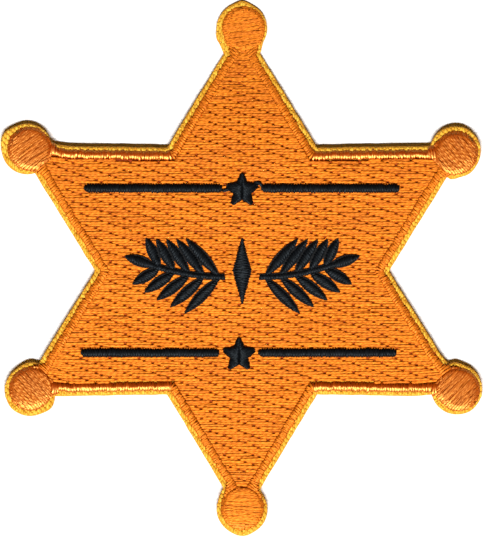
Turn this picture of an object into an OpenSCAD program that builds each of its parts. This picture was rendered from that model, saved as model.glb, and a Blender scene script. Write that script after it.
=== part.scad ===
// Embroidered star patch with six round tips, lying on its back.
// Millimetres. The origin is the middle of the star on the back face, +Y is its upper point
// and +Z the worn side.

/* [Star outline] */
// Reach of the upper and lower points, to where their two sides would meet
point_reach = 41.3; // [39.6:0.1:43.5]
// Sideways reach of the four side points, to where their sides would meet
side_point_x = 37.5; // [36:0.1:39.5]
// Height of the four side points above and below the middle
side_point_y = 21; // [20.2:0.1:22.2]
// Sideways reach of the notches at the left and the right
side_notch_x = 24.5; // [23.4:0.1:25.8]
// Sideways place of the four notches beside the upper and lower points
notch_x = 12.5; // [11.8:0.1:13]
// Height of those four notches above and below the middle
notch_y = 20.6; // [19.7:0.1:21.4]

/* [Round tips] */
// Radius of the cloth disc at each tip
tip_radius = 4.25; // [3.8:0.05:4.8]
// How far the upper disc's centre lies inside its point
upper_tip_setback = 0.8; // [0.4:0.05:1.4]
// How far the lower disc's centre lies inside its point
lower_tip_setback = 1.65; // [1:0.05:1.9]
// How far the four side discs' centres lie inside their points
side_tip_setback = 2.1; // [1.6:0.05:2.6]
// Distance from a point, along the star's sides, at which the neck of its disc begins
neck_reach = 5.9; // [5.5:0.1:7]
// How high the domed stitching of a tip stands above the cloth
tip_rise = 0.9; // [0.7:0.05:1.3]
// Radius of that dome's shoulder
tip_shoulder = 0.6; // [0.3:0.05:0.65]
// How much higher the dome is in its middle than at its shoulder
tip_crown = 0.15; // [0.05:0.05:0.3]

/* [Cloth and stitching] */
// Thickness of the ground cloth with its bonded back
cloth_thick = 1; // [0.8:0.05:1.5]
// Bare margin of the cloth outside the edge stitching
rim_width = 0.75; // [0.4:0.05:1]
// Width of the raised satin stitching along the edge
edge_width = 1.4; // [1.1:0.05:1.7]
// Height of the edge stitching above the cloth
edge_rise = 0.8; // [0.6:0.05:1.2]
// Thickness of the flat stitching that fills the star
fill_thick = 0.4; // [0.3:0.05:0.6]
// Clearance between neighbouring stitched areas
stitch_gap = 0.08; // [0.05:0.01:0.15]

/* [Bars and small stars] */
// Distance of both rows of bars from the middle
row_y = 13.7; // [12.8:0.1:14.6]
// Sideways shift of the lower row
lower_row_shift = -0.5; // [-1:0.1:1]
// Reach of a bar's outer end from the middle of its row
bar_reach = 26.3; // [22:0.1:27.5]
// Width of a bar
bar_width = 1.3; // [0.9:0.05:1.8]
// Height of the black stitching above the fill
motif_rise = 0.45; // [0.3:0.05:0.7]
// Outer radius of a small star
star_radius = 2.95; // [2.4:0.05:3.4]
// Radius of a small star's inner corners
star_waist = 1.4; // [1.1:0.05:1.6]
// Clearance between a small star and the ends of its two bars
star_clear = 0.3; // [0.2:0.05:0.8]

/* [Laurel band] */
// Half the height of the lozenge in the middle of the band
lozenge_height = 5.6; // [4.5:0.1:7]
// Half the width of that lozenge
lozenge_width = 1.6; // [1.2:0.1:2]
// Clearance between the lozenge and the root of each stem
lozenge_clear = 1.3; // [0.6:0.1:2]
// Radius on which a stem curves upwards
stem_radius = 38; // [34:0.5:60]
// Depth of the stems' lowest place below the middle
stem_drop = 1; // [0:0.1:2]
// Width of a stem
stem_width = 1; // [0.7:0.05:1.4]
// Length along a stem from its root to its end leaf
stem_length = 12.6; // [11:0.1:13.4]
// Length of the pair of leaves at the root
leaf_length = 8.6; // [7:0.1:9.2]
// Share by which the leaves grow shorter along the stem
leaf_taper = 0.36; // [0.3:0.02:0.5]
// Greatest width of a leaf
leaf_width = 1.85; // [1.4:0.05:2.1]
// Angle of the leaves to their stem
leaf_angle = 47; // [42:1:55]
// Pairs of leaves on a stem
leaf_pairs = 5; // [3:1:5]

/* [Hidden] */
$fn = 64;
// Cutting solids reach this far past what they cut
past = 1;
// Half of a cut along a tip's axis is at least this long and wide
cut_reach = 2 * (point_reach + side_point_x);
fill_z = cloth_thick + fill_thick;
fill_inset = rim_width + edge_width + stitch_gap;
dome_radius = tip_radius - rim_width;

// The star's corners, anticlockwise: notches are the even ones and points the odd ones
right_half = [
    [notch_x, -notch_y], [side_point_x, -side_point_y], [side_notch_x, 0],
    [side_point_x, side_point_y], [notch_x, notch_y],
];
star = concat(
    right_half,
    [[0, point_reach]],
    [for (p = right_half) -p],
    [[0, -point_reach]]
);

// Tip i has its point at corner 2i + 1, and notch i follows it at corner 2i + 2
SIX = [0 : 5];
TIPS = ["lower_right", "upper_right", "top", "upper_left", "lower_left", "bottom"];
NOTCHES = ["right", "upper_right", "upper_left", "left", "lower_left", "lower_right"];
SIDES = ["left", "right"];
ROWS = ["upper", "lower"];

function unit(v) = v / norm(v);
function left_of(v) = [-v.y, v.x];
function angle_of(v) = atan2(v.y, v.x);
function corner(i) = star[(i + len(star)) % len(star)];

// Corner i of the star after every side has moved inwards by d
function inset_corner(i, d) =
    let (
        here = corner(i),
        n1 = left_of(unit(here - corner(i - 1))),
        n2 = left_of(unit(corner(i + 1) - here))
    )
    here + d * (n1 + n2) / (1 + n1 * n2);
function inset_star(d) = [for (i = [0 : len(star) - 1]) inset_corner(i, d)];

function point(i) = corner(2 * i + 1);
function setback(i) =
    point(i).x != 0 ? side_tip_setback : point(i).y > 0 ? upper_tip_setback : lower_tip_setback;
function tip_centre(i) = point(i) - setback(i) * unit(point(i));

function row_side(row) = row == "upper" ? 1 : -1;
function row_shift(row) = row == "upper" ? 0 : lower_row_shift;
function hand(side) = side == "left" ? 1 : 0;

// Section of a raised line of satin stitching: round on top, w wide and h high
module satin_section(w, h) {
    r = h < w / 2 ? (w * w / 4 + h * h) / (2 * h) : w / 2;
    intersection() {
        translate([-w / 2, 0]) square([w, h]);
        union() {
            translate([0, h - r]) circle(r);
            if (h > r) translate([-w / 2, 0]) square([w, h - r]);
        }
    }
}

// A straight line of satin stitching from p to q
module satin_line(p, q, w, h) {
    translate([p.x, p.y, 0]) rotate([0, 0, angle_of(q - p)]) rotate([90, 0, 90])
        linear_extrude(norm(q - p)) satin_section(w, h);
}

// The round end of such a line
module satin_end(p, w, h) {
    translate([p.x, p.y, 0]) rotate_extrude() intersection() {
        satin_section(w, h);
        square([w, h]);
    }
}

// The stitched domes with their clearance, h high, to be cut from what ends at them
module dome_clearance(h) {
    for (i = SIX) translate(concat(tip_centre(i), -past))
        cylinder(r = dome_radius + stitch_gap, h = h + 2 * past);
}

// Everything to the left (side 1) or to the right (side -1) of tip i's axis, and the gap there
module beyond_axis(i, side) {
    rotate([0, 0, angle_of(point(i))])
        translate([0, side > 0 ? -stitch_gap / 2 : stitch_gap / 2 - cut_reach, -past])
            cube([cut_reach, cut_reach, edge_rise + 2 * past]);
}

// Outline of the neck that joins tip i's disc to the star
module neck(i) {
    across = tip_radius * left_of(unit(point(i)));
    ends = [for (k = [0, 2]) point(i) + neck_reach * unit(corner(2 * i + k) - point(i))];
    polygon([ends[0], tip_centre(i) - across, tip_centre(i) + across, ends[1]]);
}

// Star-shaped ground cloth with its six round tips
module ground_cloth() {
    color("goldenrod") linear_extrude(cloth_thick) {
        polygon(star);
        for (i = SIX) {
            translate(tip_centre(i)) circle(tip_radius);
            neck(i);
        }
    }
}

// Flat filling stitches between the raised edges
module field_fill() {
    color("darkorange") translate([0, 0, cloth_thick]) difference() {
        linear_extrude(fill_thick) polygon(inset_star(fill_inset));
        dome_clearance(fill_thick);
    }
}

// Raised satin edge from tip i round notch i to the next tip
module edge_satin(i) {
    middle = rim_width + edge_width / 2;
    turn = inset_corner(2 * i + 2, middle);
    color("orange") translate([0, 0, cloth_thick]) difference() {
        union() {
            for (k = [1, 3]) satin_line(turn, inset_corner(2 * i + k, middle), edge_width, edge_rise);
            satin_end(turn, edge_width, edge_rise);
        }
        dome_clearance(edge_rise);
        beyond_axis(i, -1);
        beyond_axis((i + 1) % 6, 1);
    }
}

// Domed satin disc on tip i
module tip_dome(i) {
    shoulder = min(tip_shoulder, tip_rise - tip_crown);
    crown = (dome_radius * dome_radius + tip_crown * tip_crown) / (2 * tip_crown);
    color("orange") translate(concat(tip_centre(i), cloth_thick)) rotate_extrude() intersection() {
        translate([0, tip_rise - crown]) circle(crown, $fn = 720);
        union() {
            square([dome_radius - shoulder, tip_rise]);
            square([dome_radius, tip_rise - tip_crown - shoulder]);
            translate([dome_radius - shoulder, tip_rise - tip_crown - shoulder]) circle(shoulder);
        }
        square([dome_radius, tip_rise]);
    }
}

// Black bar between a small star and the edge
module bar(row, side) {
    inner = [star_radius + star_clear + bar_width / 2, 0];
    outer = [bar_reach - bar_width / 2, 0];
    color("black") translate([row_shift(row), row_side(row) * row_y, fill_z]) mirror([hand(side), 0, 0]) {
        satin_line(inner, outer, bar_width, motif_rise);
        satin_end(inner, bar_width, motif_rise);
        satin_end(outer, bar_width, motif_rise);
    }
}

// Small five-pointed star in the middle of a row, its height centred on the bars
module small_star(row) {
    centring = star_radius * (1 - cos(36)) / 2;
    color("black") translate([row_shift(row), row_side(row) * row_y - centring, fill_z])
        linear_extrude(motif_rise)
            polygon([for (i = [0 : 9]) (i % 2 == 0 ? star_radius : star_waist) * [sin(36 * i), cos(36 * i)]]);
}

// Outline of a leaf that points along +X, bounded by two arcs
module leaf(length) {
    r = (length * length + leaf_width * leaf_width) / (4 * leaf_width);
    intersection_for (s = [-1, 1]) translate([length / 2, s * (r - leaf_width / 2)]) circle(r, $fn = 180);
}

// Places its children on the stem, s along it from the root, facing along it
module on_stem(s) {
    translate([0, stem_radius]) rotate(s / stem_radius * 180 / PI) translate([0, -stem_radius]) children();
}

// Outline of the curved stem
module stem() {
    far = 2 * stem_radius;
    translate([0, stem_radius]) intersection() {
        difference() {
            circle(stem_radius + stem_width / 2, $fn = 360);
            circle(stem_radius - stem_width / 2, $fn = 360);
        }
        polygon([[0, 0], [0, -far], [far * tan(stem_length / stem_radius * 180 / PI), -far]]);
    }
}

// Laurel spray of paired leaves on a curved stem
module laurel(side) {
    root = lozenge_width + lozenge_clear;
    step = stem_length / leaf_pairs;
    color("black") translate([0, 0, fill_z]) linear_extrude(motif_rise)
        mirror([hand(side), 0]) translate([root, -stem_drop]) {
            stem();
            for (i = [0 : leaf_pairs - 1], s = [-1, 1])
                on_stem((i + 0.3) * step) rotate(s * leaf_angle)
                    leaf(leaf_length * (1 - leaf_taper * i / (leaf_pairs - 1)));
            on_stem(stem_length - leaf_width / 2) leaf(leaf_length * (1 - leaf_taper));
        }
}

// Upright lozenge in the middle of the band
module lozenge() {
    color("black") translate([0, 0, fill_z]) linear_extrude(motif_rise)
        polygon([[lozenge_width, 0], [0, lozenge_height], [-lozenge_width, 0], [0, -lozenge_height]]);
}

ground_cloth();
field_fill();
for (i = SIX) {
    edge_satin(i);
    tip_dome(i);
}
for (row = ROWS) {
    for (side = SIDES) bar(row, side);
    small_star(row);
}
for (side = SIDES) laurel(side);
lozenge();
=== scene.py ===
# %% [markdown]
# An embroidered star patch.
# What the eye reads as orange or black on a patch is light on thousands of short threads. A flat star
# with a stripe picture would look right from one side only, so here each stitch is a small bent tube:
# a few master stitches are modelled once, and then sewn along the places that the packed model gives.

import math

import bpy
import numpy as np
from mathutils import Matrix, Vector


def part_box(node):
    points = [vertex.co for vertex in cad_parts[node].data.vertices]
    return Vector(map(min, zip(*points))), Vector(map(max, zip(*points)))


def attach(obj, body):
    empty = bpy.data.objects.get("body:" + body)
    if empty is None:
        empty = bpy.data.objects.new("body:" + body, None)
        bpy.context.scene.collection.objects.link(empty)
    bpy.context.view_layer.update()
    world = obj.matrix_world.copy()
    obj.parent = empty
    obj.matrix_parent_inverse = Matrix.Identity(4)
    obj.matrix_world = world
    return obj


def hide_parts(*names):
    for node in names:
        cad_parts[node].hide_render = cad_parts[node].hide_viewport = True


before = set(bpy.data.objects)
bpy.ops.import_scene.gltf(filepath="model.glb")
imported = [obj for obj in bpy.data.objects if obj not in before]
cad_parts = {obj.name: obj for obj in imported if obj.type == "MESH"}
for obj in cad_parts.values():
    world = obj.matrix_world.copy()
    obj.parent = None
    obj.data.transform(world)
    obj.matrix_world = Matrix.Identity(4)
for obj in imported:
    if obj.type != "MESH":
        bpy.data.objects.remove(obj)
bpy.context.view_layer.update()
MM = 0.001
chance = np.random.default_rng(11)
print("nodes in the packed model:", len(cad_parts))

# %% [markdown]
# The heights of the cloth, the filling and the black stitching come from the packed model. Everything
# below is placed up or down from these three.

# %% Heights, from the packed model
def top_of(node):
    """Height of a node's highest point."""
    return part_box(node)[1].z


CLOTH_TOP = top_of("ground_cloth")
FIELD_TOP = top_of("field_fill")
BLACK_TOP = top_of("bar_upper_left")
print("cloth, filling and black tops in mm:",
      [round(z / MM, 2) for z in (CLOTH_TOP, FIELD_TOP, BLACK_TOP)])

# %% [markdown]
# Outlines come from the packed model too. A node's mesh is a heap of loose triangles, so a copy is
# merged and its flat top dissolved to one face, whose corners in order are the outline.

# %% Read outlines from the packed model
FLAT_ENOUGH = math.radians(0.3)
LOOKS_UP = 0.9


def nothing_selected():
    """Clears the selection."""
    bpy.ops.object.select_all(action="DESELECT")


def edit_all():
    """Starts editing the active object, with all of it selected."""
    bpy.ops.object.mode_set(mode="EDIT")
    bpy.ops.mesh.select_all(action="SELECT")


def leave_edit():
    """Back to whole objects."""
    bpy.ops.object.mode_set(mode="OBJECT")


def dissolve_flat():
    """Joins the flat neighbours among the active object's faces and leaves nothing selected."""
    edit_all()
    bpy.ops.mesh.dissolve_limited(angle_limit=FLAT_ENOUGH)
    bpy.ops.mesh.select_all(action="DESELECT")
    leave_edit()


def copy_of(node, name):
    """A merged copy of a node's mesh, without its material, selected and active."""
    nothing_selected()
    made = bpy.data.objects.new(name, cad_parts[node].data.copy())
    made.data.name = name
    made.data.materials.clear()
    bpy.context.collection.objects.link(made)
    made.select_set(True)
    bpy.context.view_layer.objects.active = made
    if made.data.has_custom_normals:
        bpy.ops.mesh.customdata_custom_splitnormals_clear()
    edit_all()
    bpy.ops.mesh.remove_doubles(threshold=1e-6)
    leave_edit()
    return made


def outline_of(node):
    """Corners of a node's top face, anticlockwise seen from above."""
    made = copy_of(node, "outline")
    dissolve_flat()
    top = max(made.data.polygons, key=lambda face: face.area * (face.normal.z > LOOKS_UP))
    corners = np.array([made.data.vertices[i].co[:2] for i in top.vertices])
    bpy.data.objects.remove(made)
    return corners


cloth_outline = outline_of("ground_cloth")
field_outline = outline_of("field_fill")
print("corners of cloth and filling:", len(cloth_outline), len(field_outline))

# %% [markdown]
# The star has six points and six notches. Its twelve long sides are the only long straight edges of
# the cloth, so they are picked by length, and each corner is where two neighbouring sides meet. The
# discs on the points hide those corners, so they can't be read off directly.

# %% Corners of the star and places of the tips
TIPS = ["lower_right", "upper_right", "top", "upper_left", "lower_left", "bottom"]
NOTCHES = ["right", "upper_right", "upper_left", "left", "lower_left", "lower_right"]
LONG_SIDE = 10 * MM


def unit(vectors):
    """The same vectors, 1 long."""
    return vectors / np.linalg.norm(vectors, axis=-1, keepdims=True)


def left_of(vectors):
    """The same vectors turned a quarter turn to the left."""
    return np.stack([-vectors[..., 1], vectors[..., 0]], axis=-1)


def meeting(p, p_way, q, q_way):
    """Where the line through p along p_way meets the one through q along q_way."""
    along, _ = np.linalg.solve(np.column_stack([p_way, -q_way]), q - p)
    return p + along * p_way


def middle_of(node):
    """The middle of a node, seen from above."""
    low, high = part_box(node)
    return np.array([(low.x + high.x) / 2, (low.y + high.y) / 2])


after = np.roll(cloth_outline, -1, axis=0)
is_side = np.linalg.norm(after - cloth_outline, axis=1) > LONG_SIDE
side_start = cloth_outline[is_side]
side_way = unit(after[is_side] - side_start)
STAR = np.array([meeting(side_start[i - 1], side_way[i - 1], side_start[i], side_way[i])
                 for i in range(len(side_start))])
TIP_MIDDLES = np.array([middle_of("tip_dome_" + tip) for tip in TIPS])
first_tip = np.argmin(np.linalg.norm(STAR - TIP_MIDDLES[0], axis=1))
STAR = np.roll(STAR, 1 - first_tip, axis=0)
low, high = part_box("tip_dome_top")
DOME_RADIUS = (high.x - low.x) / 2
print("the star's corners in mm:", (STAR / MM).round(1).tolist())

# %% [markdown]
# The margin, the column of edge stitching and the thread are the sizes that everything below uses. A
# machine embroidery thread is about 0.4 mm wide once it lies flat.

# %% Sizes of thread and stitching
RIM = 0.75 * MM
COLUMN = 1.4 * MM
THREAD = 0.4 * MM
print("dome radius and margin in mm:", round(DOME_RADIUS / MM, 2), RIM / MM)

# %% [markdown]
# No sewn patch is exactly even. The cloth pulls while it is stitched, so each disc ends up a fraction
# of a millimetre off its place. The blade that cuts the cloth drifts too, so the bare margin is wider
# on one side of a disc than on the other, and some discs and necks bulge. Both shifts fade out towards
# the middle of the star. The top point lies pressed flat.

# %% How the stitching pulled and the cut drifted
STITCH_PULL = {
    "lower_right": (0.45, 0.35), "upper_right": (0.02, -0.3), "top": (0.33, 0.03),
    "upper_left": (0.22, 0.55), "lower_left": (0.57, 0.47), "bottom": (0.07, 0.23),
}
CUT_DRIFT = {
    "lower_right": (0.23, 0.42), "upper_right": (-0.2, 0.0), "top": (-0.09, -0.12),
    "upper_left": (-0.25, 0.59), "lower_left": (0.45, 0.08), "bottom": (0.0, -0.15),
}
PULL_REACH = 5.2 * MM
# Tip, direction in degrees, how far the cut bulges there in mm, and over how many degrees
CUT_BULGES = [
    ("top", 90, 0.4, 15), ("top", 205, 0.3, 15), ("upper_left", 150, 0.5, 22),
    ("upper_right", 262, 0.5, 14), ("upper_right", 300, 0.2, 20), ("lower_right", 97, 0.35, 14),
    ("lower_left", 84, 0.6, 24), ("lower_left", 322, 0.4, 18),
    ("bottom", 270, 0.2, 20), ("bottom", 140, 0.3, 12),
]
CLOTH_DISC = 4.4 * MM
BULGE_REACH = 1.2 * MM
PRESSED = 0.65
PRESS_REACH = 12.0 * MM


def drawn(points, shifts):
    """Points of the even star, shifted near the tips and pressed flat at the top one."""
    moved = points.copy()
    for middle, tip in zip(TIP_MIDDLES, TIPS):
        far = np.linalg.norm(points[:, :2] - middle, axis=1)
        moved[:, :2] += np.exp(-(far / PULL_REACH) ** 4)[:, None] * np.array(shifts[tip]) * MM
        if tip == "top":
            moved[:, 2] *= 1 - PRESSED * np.exp(-(far / PRESS_REACH) ** 2)
    return moved


def stitch_pull(points):
    """Points of the even star, moved to where the sewing drew them."""
    return drawn(points, STITCH_PULL)


def cut_drift(points):
    """Points of the even star's rim, moved to where the blade went."""
    moved = drawn(points, CUT_DRIFT)
    for tip, direction, bulge, spread in CUT_BULGES:
        away = points[:, :2] - TIP_MIDDLES[TIPS.index(tip)]
        far = np.linalg.norm(away, axis=1)
        turned = np.degrees(np.arctan2(away[:, 1], away[:, 0])) - direction
        turned = (turned + 180) % 360 - 180
        push = np.exp(-(turned / spread) ** 2 - ((far - CLOTH_DISC) / BULGE_REACH) ** 2)
        moved[:, :2] += (push * bulge * MM / np.maximum(far, MM))[:, None] * away
    return moved


furthest = max(math.hypot(*shift) for shift in STITCH_PULL.values())
print("the furthest shift of a disc in mm:", round(furthest, 2))

# %% [markdown]
# The picture looks straight down and shows no perspective, as through a very long lens. Its lamp is a
# bright strip below the patch, a good way up: it leaves a thin hard shadow on the upper side, and a
# thread is bright only where its slope turns the light to the lens. A faint warm light from all round
# stands for what cloth and thread throw at each other.

# %% Camera, lamp and floor
VIEW_HIGH = 89.33 * MM
SENSOR = 36.0
CAMERA_AT = (-0.1 * MM, 0.5 * MM, 0.9)
LAMP_WAY = (-0.04, -1.0)
LAMP_ELEVATION = math.radians(54.5)
LAMP_FAR = 2.0
LAMP_SIZE = (1.2, 0.2)
LAMP_WATTS = 67.0
ROOM_COLOUR = (1.0, 0.55, 0.1, 1)
ROOM_STRENGTH = 0.06
FLOOR_SIZE = 3.0
FLOOR_Z = -0.02 * MM

bpy.ops.object.camera_add(location=CAMERA_AT, rotation=(0, 0, 0))
camera = bpy.context.object
camera.name = "camera"
camera.data.sensor_width = SENSOR
camera.data.lens = SENSOR * (CAMERA_AT[2] - CLOTH_TOP) / VIEW_HIGH
camera.data.clip_start = 0.01
bpy.context.scene.camera = camera
bpy.context.scene.view_settings.view_transform = "Standard"

flat_way = unit(np.array(LAMP_WAY)) * math.cos(LAMP_ELEVATION)
lamp_at = LAMP_FAR * np.array([*flat_way, math.sin(LAMP_ELEVATION)])
turn = math.atan2(LAMP_WAY[0], -LAMP_WAY[1])
bpy.ops.object.light_add(type="AREA", location=lamp_at.tolist(),
                         rotation=(math.pi / 2 - LAMP_ELEVATION, 0, turn))
lamp = bpy.context.object
lamp.name = "strip_lamp"
lamp.data.shape = "RECTANGLE"
lamp.data.size, lamp.data.size_y = LAMP_SIZE
lamp.data.energy = LAMP_WATTS
lamp.visible_camera = False

world = bpy.context.scene.world or bpy.data.worlds.new("room")
bpy.context.scene.world = world
world.use_nodes = True
background = world.node_tree.nodes["Background"]
background.inputs["Color"].default_value = ROOM_COLOUR
background.inputs["Strength"].default_value = ROOM_STRENGTH

bpy.ops.mesh.primitive_plane_add(size=FLOOR_SIZE, location=(0, 0, FLOOR_Z))
floor = bpy.context.object
floor.name = "floor"
print("lamp at", lamp_at.round(2).tolist(), "lens", round(camera.data.lens, 1))

# %% [markdown]
# A material is a small sum: a pattern is worked out as numbers, which choose between colours and raise
# or lower the surface. The class below lets such sums be written as plain expressions: each operator
# adds the node that works it out.

# %% Sums in materials
class Wire:
    """An output of a node in expressions: + - * and the methods below each add the node for it."""

    def __init__(self, tree, socket=None):
        self.tree = tree
        self.socket = socket

    def node(self, kind, settings, values, output=0):
        """A node of a kind, its settings first and then its values or links, as a new wire."""
        made = self.tree.nodes.new(kind)
        for name, value in settings.items():
            if name == "stops":
                fill_ramp(made.color_ramp, value)
            else:
                setattr(made, name, value)
        for name, value in values.items():
            if isinstance(value, Wire):
                self.tree.links.new(value.socket, made.inputs[name])
            else:
                made.inputs[name].default_value = value
        return Wire(self.tree, made.outputs[output] if len(made.outputs) else None)

    def maths(self, operation, *values):
        """A sum of one or two values."""
        return self.node("ShaderNodeMath", {"operation": operation}, dict(enumerate(values)))

    def __add__(self, other):
        return self.maths("ADD", self, other)

    def __mul__(self, other):
        return self.maths("MULTIPLY", self, other)

    def __sub__(self, other):
        return self.maths("SUBTRACT", self, other)

    def sine(self):
        """Its sine, counted in whole turns and brought to 0..1."""
        return self.maths("SINE", self * math.tau) * 0.5 + 0.5

    def axis(self, number):
        """One of the three numbers of a vector."""
        return self.node("ShaderNodeSeparateXYZ", {}, {0: self}, output=number)

    def noise(self, scale, detail):
        """Noise at a place."""
        return self.node("ShaderNodeTexNoise", {}, {"Vector": self, "Scale": scale, "Detail": detail})

    def bump(self, strength, distance):
        """A surface raised by this number."""
        return self.node("ShaderNodeBump", {},
                         {"Height": self, "Strength": strength, "Distance": distance})

    def blend(self, colour_at_0, colour_at_1):
        """A colour between two, by this number."""
        return self.node("ShaderNodeMix", {"data_type": "RGBA"},
                         {0: self, 6: colour_at_0, 7: colour_at_1}, output=2)


print("a wire's methods:", [name for name in vars(Wire) if not name.startswith("__")])

# %% [markdown]
# Every material below is made the same way: an empty tree, a few sums, and one surface shader at the
# end. Colours are given as a screen shows them and turned into the renderer's linear values.

# %% Starting and finishing a material
def fill_ramp(ramp, stops):
    """Gives a colour ramp its stops, each a place and a colour."""
    while len(ramp.elements) < len(stops):
        ramp.elements.new(0.5)
    for element, (place, colour) in zip(ramp.elements, stops):
        element.position = place
        element.color = colour


def paint(red, green, blue):
    """A colour as seen on a screen, 0 to 255, as the renderer wants it."""
    linear = [c / 255 / 12.92 if c < 10.32 else ((c / 255 + 0.055) / 1.055) ** 2.4
              for c in (red, green, blue)]
    return (*linear, 1.0)


def new_material(name):
    """An empty material, with a first wire into its tree."""
    made = bpy.data.materials.new(name)
    made.use_nodes = True
    made.node_tree.nodes.clear()
    return made, Wire(made.node_tree)


def place_in(wire):
    """The place on the object itself."""
    return wire.node("ShaderNodeTexCoord", {}, {}, output=3)


def stitch_values(wire):
    """The UV map of a stitch, and its tone."""
    uv = wire.node("ShaderNodeUVMap", {"uv_map": "thread"}, {})
    return uv, wire.node("ShaderNodeAttribute", {"attribute_name": "tone"}, {}, output=2)


def finish_material(wire, values):
    """The surface shader with its values, joined to the output."""
    shader = wire.node("ShaderNodeBsdfPrincipled", {}, values)
    wire.node("ShaderNodeOutputMaterial", {}, {"Surface": shader})


print("a middle grey in linear values:", round(paint(128, 128, 128)[0], 3))

# %% [markdown]
# Embroidery thread is two bundles of fine, shiny filaments twisted round each other. Each filament
# throws light back in a fan square to the thread, so a thread across the light shines along its whole
# length, and one that runs with the light shines only where it slopes towards the lamp. The material is
# half metallic, and the filaments are a bump that spreads its gloss sideways. Strands pulled tight over
# padding are smoother, with a narrow pale gloss. The satin and disc copies are the same thread with its
# colour painted deeper: painted shade. The UV map runs along the thread in millimetres and once round
# it, and each stitch carries a tone of its own.

# %% Thread materials
TWIST_LENGTH = 0.95
THREAD_BUMP = 0.04 * MM


def thread_material(name, shades, twist, fan, gloss):
    """Twisted thread: its dark, middle and light colour, the depth of its bumps, and its gloss."""
    dark, middle, light = (paint(*shade) for shade in shades)
    made, wire = new_material(name)
    uv, tone = stitch_values(wire)
    along, around = uv.axis(0), uv.axis(1)
    turns = (along * (1 / TWIST_LENGTH) + around * 2.0).sine()
    streak_at = wire.node("ShaderNodeCombineXYZ", {},
                          {0: along * 0.9 + tone * 37.0, 1: around * 9.0, 2: tone * 11.0})
    streaks = streak_at.noise(2.2, 0.0)
    # The filament streaks also raise and lower the colour: partly random tone, partly a painted highlight
    # for the glints of the twist.
    shade = tone * 0.55 + place_in(wire).noise(260.0, 2.0) * 0.35 + streaks * 0.3 - 0.1
    colour = wire.node("ShaderNodeValToRGB", {"stops": [(0.15, dark), (0.5, middle), (0.9, light)]},
                       {0: shade})
    bump = (turns * twist + streaks * fan).bump(1.0, THREAD_BUMP)
    finish_material(wire, {"Base Color": colour, "Normal": bump, **gloss})
    return made


orange_thread = thread_material(
    "orange_thread", ((208, 92, 4), (222, 107, 6), (236, 121, 10)), 0.5, 0.9,
    {"Roughness": 0.56, "Metallic": 0.48, "IOR": 1.75, "Specular IOR Level": 1.0,
     "Specular Tint": (1.0, 0.9, 0.2, 1.0), "Coat Weight": 0.06, "Coat Roughness": 0.3})
# The same thread as the filling, its colour painted deeper: painted shade for the brown side of the raised
# edge.
orange_satin_shaded = thread_material(
    "orange_satin_shaded", ((182, 58, 0), (196, 68, 1), (212, 83, 3)), 0.3, 0.3,
    {"Roughness": 0.38, "Metallic": 0.25, "IOR": 1.95, "Specular IOR Level": 1.0,
     "Specular Tint": (1.0, 1.0, 0.25, 1.0)})
# The same thread again, painted darker: painted shade for the slanting strands of the side discs, which send
# less light to the lens.
orange_disc_shaded = thread_material(
    "orange_disc_shaded", ((186, 68, 1), (200, 80, 2), (216, 95, 4)), 0.4, 0.5,
    {"Roughness": 0.42, "Metallic": 0.3, "IOR": 1.85, "Specular IOR Level": 1.0,
     "Specular Tint": (1.0, 0.95, 0.25, 1.0)})
black_thread = thread_material(
    "black_thread", ((6, 8, 10), (10, 12, 15), (17, 20, 25)), 0.4, 0.6,
    {"Roughness": 0.45, "IOR": 1.4, "Specular IOR Level": 0.25,
     "Specular Tint": (0.75, 0.9, 1.0, 1.0)})
print("thread materials:", [made.name for made in (orange_thread, orange_satin_shaded, orange_disc_shaded, black_thread)])

# %% [markdown]
# The gold ground cloth is a twill: its yarns float over two and under one, a step further each time.
# On the bare margin the floats are modelled, so their material only needs the yarn's fibres. Under the
# stitching lies the padding, which hardly shows; its colour is painted darker than the thread's, as
# painted shade in the gaps and needle holes.

# %% Cloth materials
YARN = 0.33 * MM


def yarn_material(name, dark, light):
    """Matt spun yarn, uneven in tone, with fibres along it."""
    made, wire = new_material(name)
    uv, tone = stitch_values(wire)
    fibres = uv.noise(7.0, 3.0)
    colour = (tone * 0.7 + fibres * 0.5 - 0.1).blend(paint(*dark), paint(*light))
    finish_material(wire, {"Base Color": colour, "Normal": fibres.bump(0.7, THREAD_BUMP),
                           "Roughness": 0.6, "Specular IOR Level": 0.5,
                           "Specular Tint": (1.0, 0.85, 0.5, 1.0)})
    return made


def weave_material(name, dark, light):
    """Cloth whose slanting twill lines are a pattern on the surface."""
    made, wire = new_material(name)
    place = place_in(wire)
    x, y = place.axis(0), place.axis(1)
    lines = ((x + y) * (1 / (3 * YARN))).sine()
    yarns = (x * (1 / YARN)).sine()
    height = lines * 0.6 + yarns * 0.25 + place.noise(1500.0, 3.0) * 0.3
    colour = (height * 0.9 - 0.1).blend(paint(*dark), paint(*light))
    finish_material(wire, {"Base Color": colour, "Normal": height.bump(0.8, 0.05 * MM),
                           "Roughness": 0.8, "Specular IOR Level": 0.3})
    return made


def floor_material():
    """Plain white with a faint mottle."""
    made, wire = new_material("white_floor")
    colour = place_in(wire).noise(40.0, 2.0).blend(paint(243, 243, 243), paint(247, 247, 247))
    finish_material(wire, {"Base Color": colour, "Roughness": 0.9, "Specular IOR Level": 0.2})
    return made


gold_yarn = yarn_material("gold_yarn", (214, 146, 18), (255, 204, 70))
gold_twill = weave_material("gold_twill", (205, 132, 22), (240, 172, 48))
backing = weave_material("bonded_back", (205, 200, 186), (232, 228, 216))
# The padding is painted darker than the orange thread over it: painted shade in the gaps between threads.
shaded_padding = weave_material("shaded_padding", (150, 52, 0), (172, 66, 1))
black_padding = weave_material("black_padding", (5, 6, 8), (12, 14, 17))
floor.data.materials.append(floor_material())
print("cloth materials:", gold_yarn.name, gold_twill.name, backing.name, shaded_padding.name)

# %% [markdown]
# A stitch is a thread that comes up through the cloth, lies over it and goes down again. Its master is
# a ring of corners drawn out into a tube along X, step by step, thin at both ends where the thread is
# pulled into the cloth. Length and thickness are 1: each stitch is that tube bent along its own line.

# %% Model the master stitches
CORNERS_ROUND = 6


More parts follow.
